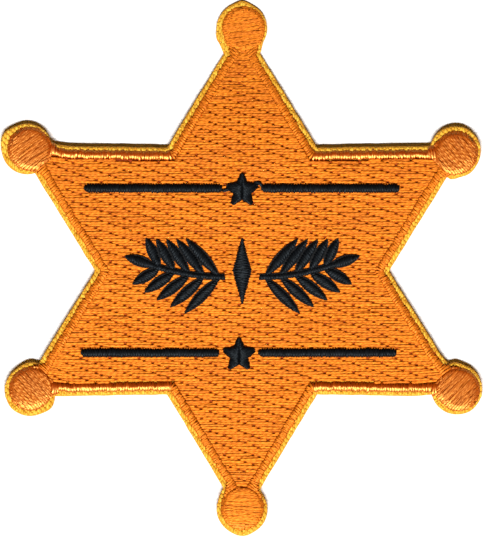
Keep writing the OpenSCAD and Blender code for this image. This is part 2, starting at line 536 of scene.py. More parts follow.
def model_stitch(name, widths):
    """A closed tube along X from 0 to 1, with a ring at each of its widths."""
    nothing_selected()
    step = 1 / (len(widths) - 1)
    bpy.ops.mesh.primitive_circle_add(vertices=CORNERS_ROUND, radius=widths[0] / 2,
                                      fill_type="NGON", location=(0, 0, 0), rotation=(0, math.pi / 2, 0))
    made = bpy.context.object
    made.name = name
    bpy.ops.object.transform_apply(location=True, rotation=True, scale=True)
    edit_all()
    for i in range(1, len(widths)):
        bpy.ops.mesh.extrude_region_move(TRANSFORM_OT_translate={"value": (step, 0, 0)})
        grow = widths[i] / widths[i - 1]
        bpy.ops.transform.resize(value=(1, grow, grow), center_override=(i * step, 0, 0))
    bpy.ops.mesh.select_all(action="SELECT")
    bpy.ops.mesh.normals_make_consistent(inside=False)
    leave_edit()
    return made


class Master:
    """The corners and faces of a modelled stitch, ready to be sewn many times."""

    def __init__(self, name, widths):
        made = model_stitch(name, widths)
        places = np.array([v.co[:] for v in made.data.vertices])
        self.rings = len(widths)
        self.ring = np.rint(places[:, 0] * (self.rings - 1)).astype(int)
        self.side = places[:, 1]
        self.rise = places[:, 2]
        self.faces = [list(face.vertices) for face in made.data.polygons]
        round_it = (np.arctan2(self.side, -self.rise) / math.tau) % 1
        self.corner_ring = []
        self.corner_round = []
        for face in self.faces:
            turns = round_it[face]
            if turns.max() - turns.min() > 0.5:
                turns = np.where(turns < 0.5, turns + 1, turns)
            self.corner_ring += list(self.ring[face])
            self.corner_round += list(turns)
        self.corner_round = np.array(self.corner_round)
        bpy.data.objects.remove(made)


satin_master = Master("satin_stitch", [0.5, 0.85, 1, 1, 1, 1, 1, 0.85, 0.5])
long_master = Master("long_stitch", [0.35, 0.75, 0.95, 1, 1, 1, 1, 0.95, 0.75, 0.35])
print("faces of the two master stitches:", len(satin_master.faces), len(long_master.faces))

# %% [markdown]
# Sewing is one function. It places the master's rings along the line of each stitch, square to it, and
# joins all stitches of a piece into one mesh. Each stitch gets its own small roll, thickness and tone,
# and the distance along it goes to the UV map.

# %% Sew a piece
UP = np.array([0.0, 0.0, 1.0])
UNEVEN = 0.06
UV_SHIFT = 7


def sew(name, master, lines, material, width, high, moved=stitch_pull, tops=None, wander=0.0,
        roll=0.08):
    """One mesh of all stitches: lines has a row of points, one for each ring, for each stitch."""
    count = len(lines)
    lines = lines.copy()
    lines[:, 1:-1] += chance.normal(0, 1, lines[:, 1:-1].shape) * wander
    way = unit(np.gradient(lines, axis=1))
    chord = lines[:, -1] - lines[:, 0]
    chord[:, 2] = 0
    side = unit(np.cross(UP, chord))[:, None, :] * np.ones_like(way)
    if tops is not None:
        side = unit(np.cross(tops, way))
    up = np.cross(way, side)
    lean = chance.normal(0, roll, count)[:, None, None]
    side, up = side * np.cos(lean) + up * np.sin(lean), up * np.cos(lean) - side * np.sin(lean)
    widths = width * chance.normal(1, UNEVEN, count)[:, None, None]
    highs = high * chance.normal(1, UNEVEN, count)[:, None, None]
    corners = (lines[:, master.ring]
               + side[:, master.ring] * master.side[None, :, None] * widths
               + up[:, master.ring] * master.rise[None, :, None] * highs)
    per_stitch = len(master.ring)
    faces = [[i + n * per_stitch for i in face] for n in range(count) for face in master.faces]
    mesh = bpy.data.meshes.new(name)
    mesh.from_pydata(moved(corners.reshape(-1, 3)).tolist(), [], faces)
    tone = mesh.attributes.new("tone", "FLOAT", "POINT")
    tone.data.foreach_set("value", np.repeat(chance.random(count), per_stitch))
    steps = np.linalg.norm(np.diff(lines, axis=1), axis=2)
    run = np.concatenate([np.zeros((count, 1)), np.cumsum(steps, axis=1)], axis=1) / MM
    run += chance.random(count)[:, None] * UV_SHIFT
    uv = np.stack([run[:, master.corner_ring],
                   np.broadcast_to(master.corner_round, (count, len(master.corner_round)))], axis=-1)
    mesh.uv_layers.new(name="thread").data.foreach_set("uv", uv.ravel())
    mesh.materials.append(material)
    mesh.polygons.foreach_set("use_smooth", np.ones(len(faces), bool))
    made = bpy.data.objects.new(name, mesh)
    bpy.context.collection.objects.link(made)
    print(name, "stitches:", count, "faces:", len(faces))
    return made


def join(whole, part):
    """Joins part to whole, with its own material."""
    nothing_selected()
    part.select_set(True)
    whole.select_set(True)
    bpy.context.view_layer.objects.active = whole
    bpy.ops.object.join()
    return whole

# %% [markdown]
# Lines for two kinds of stitch. A flat stitch goes straight and dips into the cloth at both ends. A
# satin strand is an arch over padding: the further from its middle, the steeper.

# %% Lines that stitches follow
DIP = 0.24 * MM
DIP_REACH = 0.3 * MM
END_STEPS = np.array([0, 0.12, 0.26, 0.45]) * MM
ARCH_BLUNT = 0.55
ARCH_SPAN = (0.04, 0.96)


def on_the_way(starts, ends, share):
    """Places at the given shares of the way from each start to its end."""
    share = share[:, :, None]
    return starts[:, None] * (1 - share) + ends[:, None] * share


def raised(flat, height):
    """Flat places, each with its height."""
    return np.concatenate([flat, height[:, :, None]], axis=2)


def zigzag(count, place, uneven):
    """Ends of strands to and fro: place(k) gives a middle, a way across and how far it goes there."""
    holes = []
    for k in range(count + 1):
        at, across, half = place(k)
        hand = -1 if k % 2 == 0 else 1
        holes.append(at + across * hand * (half + chance.normal(0, uneven)))
    holes = np.array(holes)
    return holes[:-1], holes[1:]


def flat_lines(starts, ends, level, rings, bow):
    """Straight stitches at a level, dipping at their ends, with their middle bowed sideways."""
    length = np.linalg.norm(ends - starts, axis=1)[:, None]
    lead = np.minimum(END_STEPS, length * np.array([0, 0.1, 0.2, 0.3]))
    inner = rings - 2 * len(END_STEPS) + 1
    middle = lead[:, -1:] + (length - 2 * lead[:, -1:]) * np.arange(1, inner) / inner
    run = np.concatenate([lead, middle, (length - lead)[:, ::-1]], axis=1)
    share = run / length
    flat = on_the_way(starts, ends, share)
    flat += left_of(unit(ends - starts))[:, None] * (np.sin(share * math.pi) * bow[:, None])[:, :, None]
    near = np.minimum(run, length - run) / DIP_REACH
    return raised(flat, level[:, None] - DIP * (1 - np.clip(near, 0, 1)) ** 2)


def arch_lines(starts, ends, bases, rise, rings, fullness=2.3):
    """Strands that arch from start to end, rise above the line between the bases of the two."""
    across = -np.cos(np.linspace(*ARCH_SPAN, rings) * math.pi)[None, :]
    share = (across + 1) / 2
    ground = bases[0] * (1 - share) + bases[1] * share
    lift = (1 - np.abs(across) ** fullness) ** ARCH_BLUNT
    rise = np.broadcast_to(rise, len(starts))[:, None]
    return raised(on_the_way(starts, ends, share), ground + rise * lift)


print("a flat stitch's ends go down by, in mm:", round(DIP / MM, 2))

# %% [markdown]
# The ground cloth is cut with a hot blade, so its edge wavers a little but doesn't fray, and its upper
# corner is melted round. A merged copy of the packed solid gets short steps round its rim and narrow
# rings inset in its top, lowered the more the nearer they lie to the edge, and a smooth wobble shifts
# each corner. The worn side and the cut edge are gold twill, the underside is the bonded back.

# %% The ground cloth
WOBBLE = 0.04 * MM
WAVES = ((17, 0.4), (37, 2.1), (61, 4.0), (89, 1.3))
RIM_CUTS = 26
MELTED = 0.28 * MM
MELTED_RINGS = [0.02, 0.04, 0.06, 0.07, 0.09]
NECK_CUTS = np.arange(31, 45) * MM


def cut_across_neck(piece):
    """Cuts a piece across at each millimetre of the top point, so that it can lie flat there."""
    edit_all()
    for y in NECK_CUTS:
        bpy.ops.mesh.select_all(action="SELECT")
        bpy.ops.mesh.bisect(plane_co=(0, y, 0), plane_no=(0, 1, 0))
    leave_edit()


def depth_in(points, corners):
    """How deep each point lies inside an outline, below 0 for those outside."""
    x, y = points[:, 0], points[:, 1]
    depth = np.full(len(points), 1e9)
    within = np.zeros(len(points), bool)
    for a, b in zip(corners, np.roll(corners, -1, axis=0)):
        share = np.clip((points - a) @ (b - a) / ((b - a) @ (b - a)), 0, 1)
        depth = np.minimum(depth, np.linalg.norm(points - a - share[:, None] * (b - a), axis=1))
        if a[1] != b[1]:
            crosses = ((a[1] > y) != (b[1] > y)) & (x < a[0] + (y - a[1]) / (b[1] - a[1]) * (b[0] - a[0]))
            within ^= crosses
    return np.where(within, depth, -depth)


def melted_drop(deep):
    """How far the melted edge lies below the cloth's top, that deep inside the outline."""
    rest = MELTED - np.clip(deep, 0, MELTED)
    return MELTED - np.sqrt(MELTED ** 2 - rest ** 2)


cloth = copy_of("ground_cloth", "cloth")
dissolve_flat()
for edge in cloth.data.edges:
    ends = [cloth.data.vertices[i].co for i in edge.vertices]
    edge.select = (ends[0] - ends[1]).length > LONG_SIDE
bpy.ops.object.mode_set(mode="EDIT")
bpy.ops.mesh.subdivide(number_cuts=RIM_CUTS)
bpy.ops.mesh.select_all(action="DESELECT")
leave_edit()
for face in cloth.data.polygons:
    face.select = face.normal.z > LOOKS_UP
bpy.ops.object.mode_set(mode="EDIT")
bpy.ops.mesh.select_mode(type="FACE")
for ring in MELTED_RINGS:
    bpy.ops.mesh.inset(thickness=ring * MM)
bpy.ops.mesh.select_mode(type="VERT")
leave_edit()
cut_across_neck(cloth)
places = np.array([v.co[:] for v in cloth.data.vertices])
on_top = places[:, 2] > CLOTH_TOP / 2
places[on_top, 2] -= melted_drop(np.abs(depth_in(places[on_top, :2], cloth_outline)))
turns = np.arctan2(places[:, 1], places[:, 0])
far = np.linalg.norm(places[:, :2], axis=1)
wave = sum(np.sin(k * turns + phase) for k, phase in WAVES) / 2
places[:, :2] *= (1 + WOBBLE * wave / far)[:, None]
cloth.data.vertices.foreach_set("co", cut_drift(places).ravel())
cloth.data.update()
cloth.data.materials.append(gold_twill)
cloth.data.materials.append(backing)
underside = [face for face in cloth.data.polygons if face.normal.z < -0.5]
for face in underside:
    face.material_index = 1

# %% [markdown]
# The bare margin shows the twill itself. Each warp yarn runs up and down and floats over two weft
# yarns, and the next one does the same one step lower, which draws lines that fall to the right. Each
# float on the margin is a short stitch of its own, kept just clear of the cut.

# %% The yarns of the bare margin
FLOAT_HALF = np.array([0, 2.7 / 2 * YARN])
FLOAT_WIDTHS = [0.6, 1, 1.05, 1, 0.6]
FLOAT_UNEVEN = 0.05 * MM
FLOAT_SUNK = 0.02 * MM
FLOAT_FULLNESS = 2.6
FLOAT_TRIES = 9
LEAST_ON_CLOTH = 4
CLOTH_REACH = 46 * MM
CLEAR_OF_CUT = 0.11 * MM
MARGIN_REACH = RIM + 0.9 * MM


def float_lines(high):
    """Lines of the floats whose middle lies on the margin, clipped to stay on the cloth."""
    steps = int(CLOTH_REACH / YARN)
    columns, rows = np.meshgrid(np.arange(-steps, steps), np.arange(-steps // 3, steps // 3 + 1))
    columns, rows = columns.ravel(), rows.ravel()
    middle = np.stack([columns * YARN, (3 * rows - (columns % 3)) * YARN], axis=1)
    middle += chance.normal(0, FLOAT_UNEVEN, middle.shape)
    tries = middle[:, None] + np.linspace(-1, 1, FLOAT_TRIES)[None, :, None] * FLOAT_HALF
    flat = tries.reshape(-1, 2)
    kept = depth_in(flat, cloth_outline) > CLEAR_OF_CUT
    near = np.abs(depth_in(middle, cloth_outline)) < MARGIN_REACH
    ends = []
    for line, ok, close in zip(tries, kept.reshape(tries.shape[:2]), near):
        if close and ok.sum() >= LEAST_ON_CLOTH:
            ends.append(line[np.flatnonzero(ok)[[0, -1]]])
    ends = np.array(ends)
    base = CLOTH_TOP - FLOAT_SUNK
    lines = arch_lines(ends[:, 0], ends[:, 1], (base, base), high, len(FLOAT_WIDTHS), FLOAT_FULLNESS)
    deep = np.abs(depth_in(lines[..., :2].reshape(-1, 2), cloth_outline))
    lines[..., 2] -= melted_drop(deep).reshape(lines.shape[:2])
    return lines


warp = sew("margin_yarns", Master("float_stitch", FLOAT_WIDTHS), float_lines(high=0.07 * MM), gold_yarn,
           width=YARN * 1.3, high=0.12 * MM, moved=cut_drift, roll=0.2)

# %% [markdown]
# The field is filled in rows 0.4 mm apart, with stitches 4.8 mm long. Each row's needle holes are
# shifted, so the holes draw a slanting lattice. Rows sewn to the right lean a little up, and rows sewn
# to the left a little down, which leaves a dark line before each second hole.

# %% The filling of the field
ROW = 0.402 * MM
STITCH = 4.77 * MM
HOLE_SHIFT = np.array([0, 0.95, 2.4, 3.35]) * MM
FIRST_HOLE = (25.7 * MM, 17.68 * MM)
SHORTEST = 1.1 * MM
SHORTEST_ROW = 0.5 * MM
LEAN = 0.1 * MM
HOLE = 0.1 * MM
HOLE_UNEVEN = 0.08 * MM
WANDER = 0.02 * MM
BOW = 0.03 * MM


def crossings(corners, point, way):
    """Where the line through a point along a way crosses an outline, as distances along it."""
    nxt = np.roll(corners, -1, axis=0)
    over = left_of(way)
    side_a, side_b = (corners - point) @ over, (nxt - point) @ over
    hit = (side_a > 0) != (side_b > 0)
    share = side_a[hit] / (side_a[hit] - side_b[hit])
    at = corners[hit] + share[:, None] * (nxt[hit] - corners[hit])
    return np.sort((at - point) @ way)


def row_stitches(corners, y, row):
    """The stitches of one row, as pairs of ends."""
    holes_from = FIRST_HOLE[0] + HOLE_SHIFT[row % 4]
    pairs = []
    for left, right in crossings(corners, np.array([0, y]), np.array([1.0, 0])).reshape(-1, 2):
        first = math.ceil((left - holes_from) / STITCH)
        last = math.floor((right - holes_from) / STITCH)
        holes = holes_from + np.arange(first, last + 1) * STITCH
        holes = holes[(holes > left + SHORTEST) & (holes < right - SHORTEST)]
        cuts = [left, *(holes + chance.normal(0, HOLE_UNEVEN, len(holes))), right]
        if right - left > SHORTEST_ROW:
            pairs += zip(cuts[:-1], cuts[1:])
    return pairs


def field_lines(corners, level):
    """Lines of all filling stitches inside an outline."""
    first = math.ceil((FIRST_HOLE[1] - corners[:, 1].max()) / ROW)
    last = math.floor((FIRST_HOLE[1] - corners[:, 1].min()) / ROW)
    starts, ends = [], []
    for row in range(first, last + 1):
        y = FIRST_HOLE[1] - row * ROW
        lean = LEAN if row % 2 == 0 else -LEAN
        for left, right in row_stitches(corners, y, row):
            wander = chance.normal(0, WANDER, 2)
            starts.append((left + HOLE / 2, y - lean / 2 + wander[0]))
            ends.append((right - HOLE / 2, y + lean / 2 + wander[1]))
    starts, ends = np.array(starts), np.array(ends)
    bow = chance.normal(0, BOW, len(starts))
    levels = level + chance.normal(0, WANDER, len(starts))
    return flat_lines(starts, ends, levels, long_master.rings, bow)


print("rows in the filling:", int(np.ptp(field_outline[:, 1]) / ROW))

# %% [markdown]
# The filling runs on a little under the raised edge, so its outline is moved outwards. Along the level
# columns it is drawn in instead, which leaves a dark groove beside them. The padding below is the
# packed solid itself, lowered and shrunk, so that it never looks out between the threads.

# %% Sew the field
UNDER_EDGE = 0.5 * MM
GROOVE = 0.52 * MM


def grown(corners, by):
    """An outline, moved outwards all round."""
    before = unit(corners - np.roll(corners, 1, axis=0))
    after_it = np.roll(before, -1, axis=0)
    outward = -left_of(before) - left_of(after_it)
    return corners + by * outward / (1 + np.sum(before * after_it, axis=1, keepdims=True))


def grooved(corners, by):
    """An outline whose long level sides are drawn in, for the groove beside the level columns."""
    made = corners.copy()
    way = np.roll(corners, -1, axis=0) - corners
    for i in np.flatnonzero((np.abs(way[:, 0]) > LONG_SIDE) & (np.abs(unit(way)[:, 1]) < 0.1)):
        made[[i, (i + 1) % len(corners)]] += left_of(unit(way[i])) * by
    return made


def bed_of(node, high, material, shrink=0.0):
    """The padding under a stitched area: its solid, lowered to a height and drawn in."""
    made = copy_of(node, "bed")
    low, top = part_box(node)
    if top.y > NECK_CUTS[0]:
        cut_across_neck(made)
    if shrink:
        edit_all()
        bpy.ops.transform.shrink_fatten(value=-shrink)
        leave_edit()
    places = np.array([v.co[:] for v in made.data.vertices])
    places[:, 2] = low.z + (places[:, 2] - low.z) * (high - low.z) / (top.z - low.z)
    made.data.vertices.foreach_set("co", stitch_pull(places).ravel())
    made.data.materials.append(material)
    return made


sewn_outline = grooved(grown(field_outline, UNDER_EDGE), GROOVE)
field = sew("field_stitches", long_master, field_lines(sewn_outline, FIELD_TOP - 0.07 * MM),
            orange_thread, width=THREAD * 1.27, high=0.065 * MM, wander=0.012 * MM, roll=0.03)
join(field, bed_of("field_fill", FIELD_TOP - 0.15 * MM, shaded_padding, shrink=0.15 * MM))

# %% [markdown]
# Round each notch runs one column of satin stitching, from tip to tip. The thread goes to and fro, so
# at both sides two strands share each needle hole, which gives the column its fine teeth. At the notch
# the strands fan out. Level columns reach a little further over the margin than slanting ones.

# %% Needle holes of the raised edge
STRAND = 0.21 * MM
TEETH = 0.07 * MM
LANE = grown(STAR, -RIM - COLUMN / 2)
FAN = 0.9 * MM
REACH_OUT = -0.04 * MM
REACH_OUT_LEVEL = 0.14 * MM


def smooth(share):
    """A smooth step from 0 to 1."""
    return share * share * (3 - 2 * share)


def edge_needles(i):
    """Needle holes of the column round notch i, outer and inner in turn."""
    start, turn_at, stop = (LANE[(2 * i + k) % len(LANE)] for k in (1, 2, 3))
    first, second = np.linalg.norm(turn_at - start), np.linalg.norm(stop - turn_at)
    way1, way2 = unit(turn_at - start), unit(stop - turn_at)
    n1, n2 = left_of(way1), left_of(way2)
    stretch = 1 / math.sqrt((1 + n1 @ n2) / 2) - 1
    holes = []
    run = 0.0
    side = -1
    while run < first + second:
        at = start + way1 * run if run < first else turn_at + way2 * (run - first)
        turned = smooth(np.clip((run - first) / FAN / 2 + 0.5, 0, 1))
        inward = unit(n1 * (1 - turned) + n2 * turned)
        near = max(0.0, 1 - abs(run - first) / FAN)
        slanting = min(1.0, 2 - 2 * abs(inward[1]))
        half = COLUMN / 2 * (1 + stretch * near) + chance.normal(0, TEETH)
        at = at + left_of(inward) * chance.normal(0, TEETH / 2)
        if side < 0:
            half += slanting * REACH_OUT + (1 - slanting) * REACH_OUT_LEVEL
        holes.append((at, inward, side * half))
        run += STRAND
        side = -side
    return holes


print("corners of the columns' middle line:", len(LANE))

# %% [markdown]
# Close to a disc the strands grow longer outwards, so that column and disc run together, and end where
# the disc begins. Strands that would cross to the other side of a tip are cut short.

# %% Strands between the discs
SHORTEST_STRAND = 0.35 * MM
FLARE = 1.42
FLARE_MOST = 0.8 * MM
AXIS_GAP = 0.05 * MM
PLACES_TRIED = 29


def clear_of_disc(start, end, middle):
    """A strand, cut back to where it comes clear of the stitched disc round middle."""
    share = np.linspace(0, 1, PLACES_TRIED)
    places = start + share[:, None] * (end - start)
    clear = np.flatnonzero(np.linalg.norm(places - middle, axis=1) > DOME_RADIUS)
    if len(clear) < 2:
        return start, start
    return places[clear[0]], places[clear[-1]]


def edge_strands(i):
    """Outer and inner ends of the strands round notch i that lie clear of both discs."""
    holes = edge_needles(i)
    outer, inner = [], []
    for (at, inward, out), (to, to_inward, back) in zip(holes[:-1], holes[1:]):
        ends = [at + inward * out, to + to_inward * back]
        ends = ends if out < 0 else ends[::-1]
        out_way = unit(ends[0] - ends[1])
        for tip in (i, (i + 1) % 6):
            gap = np.linalg.norm(ends[0] - TIP_MIDDLES[tip])
            flare = np.clip(FLARE * DOME_RADIUS - gap, 0, FLARE_MOST)
            ends = clear_of_disc(ends[0] + out_way * flare, ends[1], TIP_MIDDLES[tip])
        if np.linalg.norm(ends[1] - ends[0]) > SHORTEST_STRAND:
            outer.append(ends[0])
            inner.append(ends[1])
    return np.array(outer), np.array(inner)


def cut_at_axis(strands, tip, keep):
    """Shortens strands that would cross the axis of a tip; keep is the side where they stay."""
    over = left_of(unit(TIP_MIDDLES[tip])) * keep
    for places in strands:
        past = places @ over
        wrong = past < AXIS_GAP
        places[wrong] += (AXIS_GAP - past[wrong])[:, None] * over


print("strands reach out from this far round a disc, in mm:", round(FLARE * DOME_RADIUS / MM, 2))

# %% [markdown]
# The profiles give the thread's height at distances from a side, both in mm. The level columns stand
# high on padding that the sewing pulled down: a side that faces up rises slowly, and one that faces
# down stands up at once. The slanting columns lie almost as flat as the filling.

# %% How high the raised edge stands
COLUMN_STEPS = np.array([[0.01, 0.06, 0.16, 0.3, 0.47, 0.63, 0.79, 0.92, 0.99]])
COLUMN_FACING_UP = ((0, 0.1, 0.25, 0.45, 0.62, 0.75, 1.1, 4), (0.1, 0.14, 0.28, 0.46, 0.62, 0.67, 0.68, 0.7))
COLUMN_FACING_DOWN = ((0, 0.05, 0.18, 0.35, 0.55, 0.75, 1.1, 4), (0, 0.3, 0.38, 0.46, 0.53, 0.58, 0.62, 0.7))
COLUMN_SLANTING = ((0, 0.06, 0.18, 0.4, 0.6, 0.8), (0, 0.3, 0.39, 0.42, 0.435, 0.44))
INNER_END = FIELD_TOP - 0.28 * MM - CLOTH_TOP
INNER_END_SLANTING = FIELD_TOP - 0.04 * MM - CLOTH_TOP
INNER_SHARE = 0.8
INNER_FACING_UP = ((0, 0.08, 0.7, 4), (0, 0.04, 0.14, 0.4))
INNER_FACING_DOWN = ((0, 0.06, 0.2, 4), (0, 0.06, 0.1, 0.14))


def profile(points, depth):
    """Height that far in from a side."""
    return np.interp(depth / MM, *points) * MM


def by_facing(facing, up, down, slanting):
    """Up or down for level columns, by whether they look up (1) or down (-1), else slanting."""
    level = np.clip(2 * np.abs(facing) - 1, 0, 1)
    return np.where(facing > 0, up, down) * level + slanting * (1 - level)


def height_at_side(depth, facing):
    """Height above the cloth that far in from a side."""
    return by_facing(facing, profile(COLUMN_FACING_UP, depth), profile(COLUMN_FACING_DOWN, depth),
                     profile(COLUMN_SLANTING, depth))


def column_lines(outer, inner, lift):
    """Strands from the cloth over the padding to the filling; lift is their share of height."""
    wide = np.linalg.norm(inner - outer, axis=1)[:, None]
    facing = unit(outer - inner)[:, 1:]
    rise = height_at_side(COLUMN_STEPS * wide, facing)
    depth = (1 - COLUMN_STEPS) * wide
    slanting = INNER_END_SLANTING + np.where(facing > 0, profile(INNER_FACING_UP, depth),
                                             profile(INNER_FACING_DOWN, depth))
    level = INNER_END + INNER_SHARE * height_at_side(depth, -facing)
    fall = by_facing(facing, level, level, slanting)
    return raised(on_the_way(outer, inner, COLUMN_STEPS),
                  CLOTH_TOP + np.minimum(rise, fall) * lift[:, None])


print("highest strand above the cloth in mm:", max(COLUMN_FACING_UP[1]))

# %% [markdown]
# Each column is one piece. Its strands that run up and down catch the light of the lamp and get the
# smoother thread, with its colour painted deeper as painted shade.

# %% Sew the raised edge
LEVEL_FROM = 0.85
LIFT_UNEVEN = 0.05

for i, notch in enumerate(NOTCHES):
    outer, inner = edge_strands(i)
    for tip, keep in ((i, 1), ((i + 1) % 6, -1)):
        cut_at_axis((outer, inner), tip, keep)
    lines = column_lines(outer, inner, chance.normal(1, LIFT_UNEVEN, len(outer)))
    is_level = np.abs(unit(outer - inner)[:, 1]) > LEVEL_FROM
    sizes = {"width": THREAD, "high": 0.09 * MM, "wander": 0.006 * MM}
    piece = sew("edge_stitches_" + notch, satin_master, lines[~is_level], orange_thread, **sizes)
    if is_level.any():
        join(piece, sew("level_strands", satin_master, lines[is_level], orange_satin_shaded, **sizes))
    join(piece, bed_of("edge_satin_" + notch, CLOTH_TOP + 0.22 * MM, shaded_padding, shrink=0.32 * MM))
    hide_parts("edge_satin_" + notch)
    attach(piece, "root")

# %% [markdown]
# Each disc is a padded dome. Its profiles are like those of the columns, and its normals follow from
# the heights a little to each side. Towards the star a disc reaches a little further, over the ends of
# its columns.

# %% The shape of the domed tips
DISC_FACING_UP = ((0, 0.06, 0.3, 0.6, 0.7, 0.9), (0.1, 0.13, 0.31, 0.56, 0.6, 0.62))
DISC_FACING_DOWN = ((0, 0.06, 0.25, 0.48, 0.7, 0.9, 1.2), (0, 0.36, 0.43, 0.51, 0.58, 0.61, 0.62))
DISC_FLUSH = 0.44 * MM
DOME_CROWN = 0.06 * MM
DISC_WIDER = 0.18 * MM
NECK_WIDER = 0.25 * MM
NECK_FROM, NECK_FULL = math.cos(math.radians(66)), math.cos(math.radians(40))
SLOPE_STEP = 0.03 * MM


def towards_star(away, tip):
    """How much a way from a disc's middle points to the star's middle, as a cosine."""
    far = np.maximum(np.linalg.norm(away, axis=-1), 0.01 * MM)
    return -(away @ unit(TIP_MIDDLES[TIPS.index(tip)])) / far


def disc_radius(away, tip):
    """How far the stitching reaches that way: further where the star's columns run into the disc."""
    share = np.clip((towards_star(away, tip) - NECK_FROM) / (NECK_FULL - NECK_FROM), 0, 1)
    return DOME_RADIUS + DISC_WIDER + NECK_WIDER * smooth(share)


def dome_height(places, tip):
    """Height of the thread at places, by how deep inside the disc each is and which way it faces."""
    away = places - middle_of("tip_dome_" + tip)
    far = np.maximum(np.linalg.norm(away, axis=-1), 0.01 * MM)
    depth = np.clip(disc_radius(away, tip) - far, 0, None)
    crown = np.clip(1 - (far / DOME_RADIUS) ** 2, 0, 1)
    share = np.clip(0.5 + away[..., 1] / far, 0, 1)
    side = profile(DISC_FACING_UP, depth) * share + profile(DISC_FACING_DOWN, depth) * (1 - share)
    flush = DISC_FLUSH * np.clip(towards_star(away, tip) / 0.4 - 0.5, 0, 1)
    return CLOTH_TOP + np.maximum(side, flush) + DOME_CROWN * crown


def dome_tops(places, tip):
    """The dome's surface normals at places, from the heights a little to each side."""
    x_slope, y_slope = ((dome_height(places + shift, tip) - dome_height(places - shift, tip))
                        / (2 * SLOPE_STEP) for shift in np.eye(2) * SLOPE_STEP)
    return np.stack([-x_slope, -y_slope, np.ones_like(x_slope)], axis=-1)


crown_top = float(dome_height(middle_of("tip_dome_top"), "top"))
print("height of a disc's middle in mm:", round(crown_top / MM, 2))

# %% [markdown]
# Strands run right across each disc, side by side at one angle. The angle differs from disc to disc,
# because the machine sewed each one on its own way in. Where strands slant, they get the thread whose
# gloss is narrower and whose colour is painted darker, as painted shade for the light they send away
# from the lens.

# %% Sew the domed tips
STRAND_ANGLE = {"lower_right": 47, "upper_right": -50, "top": 8, "upper_left": 36,
                "lower_left": -47, "bottom": -1}
LEVEL_ANGLE = 20
DOME_STRAND = 0.2 * MM
DISC_DRAWN_IN = 0.04 * MM
DISC_END = 0.1 * MM
STRAND_UNEVEN = 0.02 * MM
HEIGHT_UNEVEN = 0.012 * MM
ACROSS_PLACES = np.array([0.02, 0.07, 0.28, 0.48, 0.6, 0.8, 1.2]) * MM
MIDDLE_SHARES = (0.4, 0.6)
ACROSS_RINGS = 2 * len(ACROSS_PLACES) + len(MIDDLE_SHARES)


def dome_lines(tip):
    """Strands to and fro across a disc."""
    angle = math.radians(STRAND_ANGLE[tip])
    along = np.array([math.cos(angle), math.sin(angle)])
    across = left_of(along)
    reach = DOME_RADIUS + DISC_WIDER - DISC_DRAWN_IN
    offsets = np.arange(-reach + DISC_END, reach - DISC_END, DOME_STRAND)
    offsets = offsets + chance.normal(0, STRAND_UNEVEN, len(offsets))

    def place(k):
        offset = offsets[k]
        hand = -1 if k % 2 == 0 else 1
        away = across * offset + along * math.sqrt(reach ** 2 - offset ** 2) * hand
        half = math.sqrt(float(disc_radius(away, tip)) ** 2 - offset ** 2) - DISC_DRAWN_IN
        return middle_of("tip_dome_" + tip) + across * offset, along, half

    start, stop = zigzag(len(offsets) - 1, place, TEETH / 2)
    length = np.linalg.norm(stop - start, axis=1)[:, None]
    evenly = np.arange(1, len(ACROSS_PLACES) + 1) / ACROSS_RINGS
    first = np.minimum(ACROSS_PLACES, length * evenly) / length
    second = np.maximum(MIDDLE_SHARES[0], first[:, -1:])
    third = np.full_like(second, MIDDLE_SHARES[1])
    share = np.concatenate([first, second, third, 1 - first[:, ::-1]], axis=1)
    flat = on_the_way(start, stop, share)
    return raised(flat, dome_height(flat, tip) + chance.normal(0, HEIGHT_UNEVEN, flat.shape[:2]))


across_master = Master("across_stitch", [0.5, 0.9] + [1] * (ACROSS_RINGS - 4) + [0.9, 0.5])
for tip in TIPS:
    lines = dome_lines(tip)
    material = orange_thread if abs(STRAND_ANGLE[tip]) < LEVEL_ANGLE else orange_disc_shaded
    piece = sew("tip_stitches_" + tip, across_master, lines, material, width=THREAD * 1.3,
                high=0.06 * MM, tops=dome_tops(lines[..., :2], tip), wander=0.016 * MM, roll=0.03)
    join(piece, bed_of("tip_dome_" + tip, CLOTH_TOP + 0.3 * MM, shaded_padding, shrink=0.42 * MM))
    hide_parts("tip_dome_" + tip)
    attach(piece, "root")

# %% [markdown]
# All black pieces are satin over padding, sewn on the filling, so one function makes them. The longer
# a strand, the higher it stands. The bars are narrow columns with round ends.

# %% Black satin, and the bars
BLACK_BASE = FIELD_TOP - 0.08 * MM
BLACK_RISE = BLACK_TOP - BLACK_BASE - 0.1 * MM
FULL_STRAND = 1.2 * MM
BLACK_TEETH = 0.6 * TEETH
BAR_WIDER = 0.07 * MM
BAR_TAPER = 1.5
BAR_END = 0.12 * MM
BAR_NARROWEST = 0.1
BAR_UNEVEN = 0.04


def rise_by_length(starts, ends, least):
    """How high each strand stands, from the least share of a full one's rise to 1.1 of it."""
    reach = np.linalg.norm(ends - starts, axis=1)
    return BLACK_RISE * np.clip(reach / FULL_STRAND, least, 1.1)


def sew_black(name, node, starts, ends, rise, core_down, shrink=0.0, lifted=0.0, width=0.85):
    """The black satin of a node over its core, which ends that far below the top of the stitching."""
    lines = arch_lines(starts, ends, (BLACK_BASE + lifted, BLACK_BASE), rise, satin_master.rings)
    piece = sew(name, satin_master, lines, black_thread, width=THREAD * width, high=0.22 * MM)
    join(piece, bed_of(node, BLACK_TOP - core_down, black_padding, shrink))
    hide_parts(node)
    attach(piece, "root")
    return piece


